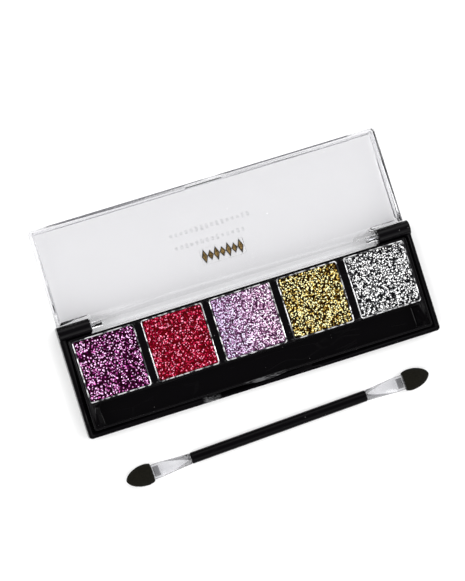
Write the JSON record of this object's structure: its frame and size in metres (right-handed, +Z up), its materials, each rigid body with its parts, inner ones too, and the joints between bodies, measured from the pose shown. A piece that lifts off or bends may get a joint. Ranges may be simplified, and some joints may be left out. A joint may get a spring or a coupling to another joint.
{
  "type": "eyeshadow palette",
  "caption": "Slim black eyeshadow palette with square glitter pans, an applicator trough, a clear lid that folds flat behind it, and a loose double-ended sponge applicator.",
  "frame": {"origin": "centre of the base's underside", "axes": "+X along the row of pans, +Y towards the hinge, +Z up from the table"},
  "size_m": [0.116, 0.0865, 0.0081],
  "materials": {
    "black_plastic": "polished black styrene with fine handling scratches",
    "clear_plastic": "clear styrene, glossy, with a faint lilac cast",
    "pan_tin": "bright drawn tinplate",
    "pan_glue": "set hot-melt glue",
    "purple_glitter": "pressed glitter flakes, magenta purple",
    "red_glitter": "pressed glitter flakes, crimson",
    "lilac_glitter": "pressed glitter flakes, lilac with a pink and blue shift",
    "gold_glitter": "pressed glitter flakes, old gold",
    "silver_glitter": "pressed glitter flakes, silver",
    "pin_steel": "drawn steel wire",
    "gold_foil": "hot-stamped foil",
    "label_paper": "blank satin label",
    "handle_plastic": "glossy black tube",
    "stem_plastic": "clear to milky pressed plastic",
    "sponge": "fine open-cell foam, near black"
  },
  "bodies": {
    "base": {"bottom_case": "black_plastic", "pan_tray": "black_plastic", "base_label": "label_paper", "pan_purple": "pan_tin", "pan_red": "pan_tin", "pan_lilac": "pan_tin", "pan_gold": "pan_tin", "pan_silver": "pan_tin", "glue_purple": "pan_glue", "glue_red": "pan_glue", "glue_lilac": "pan_glue", "glue_gold": "pan_glue", "glue_silver": "pan_glue", "glitter_purple": "purple_glitter", "glitter_red": "red_glitter", "glitter_lilac": "lilac_glitter", "glitter_gold": "gold_glitter", "glitter_silver": "silver_glitter", "hinge_pin_left": "pin_steel", "hinge_pin_right": "pin_steel"},
    "lid": {"lid": "clear_plastic", "lid_foil": "gold_foil"},
    "applicator": {"applicator_handle": "handle_plastic", "applicator_neck_left": "stem_plastic", "applicator_neck_right": "stem_plastic", "sponge_tip_left": "sponge", "sponge_tip_right": "sponge"}
  },
  "joints": [
    {"name": "lid_hinge", "type": "hinge", "parent": "base", "child": "lid", "pos_m": [0, 0.0156, 0.0055], "axis": [1, 0, 0], "range_deg": [0, 180]},
    {"name": "applicator_stow", "type": "hinge", "parent": "base", "child": "applicator", "pos_m": [-0.0002, -0.02193, 0.00328], "axis": [-0.9998, -0.0196, 0], "range_deg": [0, 180], "deforming": ["sponge_tip_left", "sponge_tip_right"]}
  ]
}
